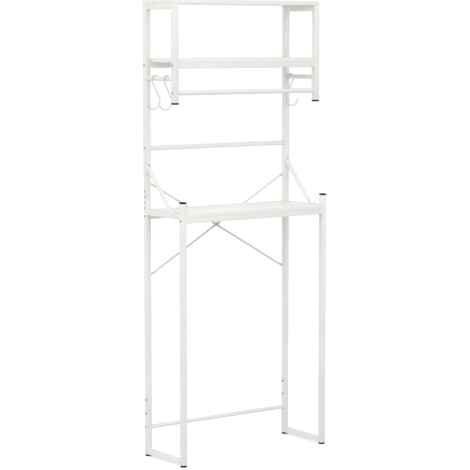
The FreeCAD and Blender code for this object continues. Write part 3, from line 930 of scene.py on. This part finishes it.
wall = squareTube["wall"] * mm
boardSeats = [(place - zAxis * wall, zAxis) for node in boardTubes for place in boardScrewPlaces(node)]
throughPost = tubeSize + 12 * mm            # across the post and into the insert
fastenerRows = (
    ("shelf_rail_bolts", boltShape, throughPost, railSeats),
    ("bar_bolts", boltShape, throughPost, barSeats),
    ("hook_rod_bolts", boltShape, throughPost, rodSeats),
    ("sleeve_screws", screwShape, 5.8 * mm, sleeveSeats),
    ("strut_screws", screwShape, 8.2 * mm, strutSeats),
    ("brace_screws", screwShape, 6.2 * mm, braceSeats),
    ("board_screws", screwShape, wall + boardScrews["bite"] * mm, boardSeats),
)
for node, shape, length, seats in fastenerRows:
    finishPiece(setFasteners(node, shape, length, seats), node, zincPlatedScrew)

centreNut = {"height": 3, "cornerRadius": 5, "edgeBreak": 0.35}
low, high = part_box("brace_centre_bolt")
seat = Vector((0, high.y - boltShape["height"] * mm, (low.z + high.z) / 2))
centreBolt = setFasteners("brace_centre_bolt", boltShape, seat.y - low.y, [(seat, -yAxis)])
turn = yAxis.to_track_quat("Z", "Y").to_euler()
nutHeight = centreNut["height"] * mm
bpy.ops.mesh.primitive_cylinder_add(vertices=6, radius=centreNut["cornerRadius"] * mm, depth=nutHeight,
                                    location=(0, low.y + nutHeight / 2, seat.z), rotation=turn)
nut = bpy.context.object
settle(nut)
openEdit(nut)
pick(nut, "EDGE", lambda edge: True)
bpy.ops.mesh.bevel(offset=centreNut["edgeBreak"] * mm, segments=2, affect="EDGES")
finishPiece(joined([nut, centreBolt], "braceCentreBolt"), "brace_centre_bolt", zincPlatedScrew)
print("stage: screws and bolts made")


# Weld beads where the tubes of a side frame meet.
weldBead = {"radius": 1.5, "ripples": 9, "swell": 0.16, "margin": 1.6, "startSize": 0.45, "endSize": 0.5}


def makeBead(length):                       # a rippled bead along X, centred on the origin
    startRadius = weldBead["radius"] * mm * weldBead["startSize"]
    bpy.ops.mesh.primitive_circle_add(vertices=14, radius=startRadius, fill_type="NGON",
                                      location=(-length / 2, 0, 0), rotation=(0, math.pi / 2, 0))
    item = bpy.context.object
    settle(item)
    openEdit(item)
    bpy.ops.mesh.select_mode(type="FACE")
    bpy.ops.mesh.select_all(action="SELECT")
    steps = weldBead["ripples"] * 4
    before = weldBead["startSize"]
    for step in range(1, steps + 1):
        ripple = 1 - weldBead["swell"] * (step % 4) / 3
        size = weldBead["endSize"] if step == steps else ripple
        bpy.ops.mesh.extrude_region_move(TRANSFORM_OT_translate={"value": (length / steps, 0, 0)})
        share = size / before
        bpy.ops.transform.resize(value=(1, share, share), center_override=(0, 0, 0))
        before = size
    holdOnly(item)
    return item


beadMaster = makeBead(tubeSize - 2 * weldBead["margin"] * mm)
for side in sides:
    beads = []
    for member, faces in (("_bottom_runner", (1,)), ("_shelf_side_rail", (1, -1)), ("_top_bar", (-1,))):
        low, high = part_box(side + member)
        for face in faces:
            for y in (low.y, high.y):
                z = high.z if face > 0 else low.z
                bead = beadMaster.copy()
                bead.data = beadMaster.data.copy()
                bpy.context.scene.collection.objects.link(bead)
                bead.location = ((low.x + high.x) / 2, y, z)
                settle(bead)
                beads.append(bead)
    finishPiece(joined(beads, side + "Welds"), side + "_bottom_runner", powderCoatedSteel, angle=60,
                name=side + "Welds", stands=False)
discard(beadMaster)
print("stage: weld beads made")


# CAD pieces that stay as they are.
kept = {"left_post_sleeve": zincPlatedSleeve, "right_post_sleeve": zincPlatedSleeve,
        "foot_inserts": mouldedNylon, "rail_end_inserts": mouldedNylon, "bar_end_inserts": mouldedNylon}
for node, material in kept.items():
    for finishSlot in frame["nodes"][node].material_slots:
        finishSlot.material = material
print("stage: kept pieces finished")


# Camera, floor and light.
studio = {"azimuth": 36.56, "elevation": 6.07, "distance": 6.5575, "aimAcross": -0.003, "aimUp": -0.0262,
          "lens": 137.57, "sensor": 36.0, "floorRadius": 14.0, "floorGlow": 0.35, "worldLight": 1.0,
          "belowLight": 0.45, "aboveLight": 0.84, "belowSpan": (-0.55, -0.28), "aboveSpan": (0.1, 0.6)}

boxLow, boxHigh = cadBounds
azimuth, elevation = math.radians(studio["azimuth"]), math.radians(studio["elevation"])
lookWay = Vector((math.sin(azimuth) * math.cos(elevation), math.cos(azimuth) * math.cos(elevation),
                  -math.sin(elevation)))
sideways = Vector((math.cos(azimuth), -math.sin(azimuth), 0))
aim = (boxLow + boxHigh) / 2 + sideways * studio["aimAcross"] + zAxis * studio["aimUp"]
cameraData = bpy.data.cameras.new("studioCamera")
cameraData.sensor_width = studio["sensor"]
cameraData.lens = studio["lens"]
cameraData.clip_start = 0.1
cameraData.clip_end = 200
camera = bpy.data.objects.new("studioCamera", cameraData)
bpy.context.scene.collection.objects.link(camera)
camera.location = aim - lookWay * studio["distance"]
camera.rotation_euler = lookWay.to_track_quat("-Z", "Y").to_euler()
bpy.context.scene.camera = camera

bpy.ops.mesh.primitive_circle_add(vertices=96, radius=studio["floorRadius"], fill_type="NGON",
                                  location=(0, 0, boxLow.z))
floor = bpy.context.object
floor.name = "studioFloor"
settle(floor)
paleFloor, tree, shader, place = startMaterial("paleFloor", {"Roughness": 0.9, "Specular IOR Level": 0.1})
shader.inputs["Base Color"].default_value = hexColour("#F2F2F2")
shader.inputs["Emission Color"].default_value = (1, 1, 1, 1)
shader.inputs["Emission Strength"].default_value = studio["floorGlow"]
floor.data.materials.append(paleFloor)
floor.visible_diffuse = False

world = bpy.data.worlds.new("studioWorld")
bpy.context.scene.world = world
world.use_nodes = True
tree = world.node_tree
tree.nodes.clear()
way = addNode(tree, "ShaderNodeTexCoord").outputs["Generated"]
height = addNode(tree, "ShaderNodeSeparateXYZ", None, {"Vector": way}).outputs["Z"]
fromBelow = {"From Min": studio["belowSpan"][0], "From Max": studio["belowSpan"][1],
             "To Min": studio["belowLight"], "To Max": studio["worldLight"]}
fromAbove = {"From Min": studio["aboveSpan"][0], "From Max": studio["aboveSpan"][1],
             "To Min": 0.0, "To Max": studio["worldLight"] - studio["aboveLight"]}
lit = addNode(tree, "ShaderNodeMapRange", fromBelow, {"Value": height}).outputs["Result"]
dimmed = addNode(tree, "ShaderNodeMapRange", fromAbove, {"Value": height}).outputs["Result"]
fall = addNode(tree, "ShaderNodeMath", {"operation": "SUBTRACT"}, {0: lit, 1: dimmed}).outputs["Value"]
sky = addNode(tree, "ShaderNodeBackground", {"Color": (1, 1, 1, 1)}, {"Strength": fall})
addNode(tree, "ShaderNodeOutputWorld", None, {"Surface": sky.outputs["Background"]})

lamps = {                                   # place round the rack, size and power of each soft box
    "keyLeft": {"place": (-3.6, -1.6, 2.4), "size": 2.4, "power": 32},
    "topFront": {"place": (-0.4, -1.2, 4.6), "size": 2.6, "power": 14},
    "fillFront": {"place": (1.2, -4.6, 1.6), "size": 2.4, "power": 16},
}
for name, lamp in lamps.items():
    light = bpy.data.lights.new(name, "AREA")
    light.size = lamp["size"]
    light.energy = lamp["power"]
    holder = bpy.data.objects.new(name, light)
    bpy.context.scene.collection.objects.link(holder)
    holder.location = lamp["place"]
    holder.rotation_euler = (aim - holder.location).to_track_quat("-Z", "Y").to_euler()
bpy.context.scene.view_settings.view_transform = "Standard"
print("stage: studio set")
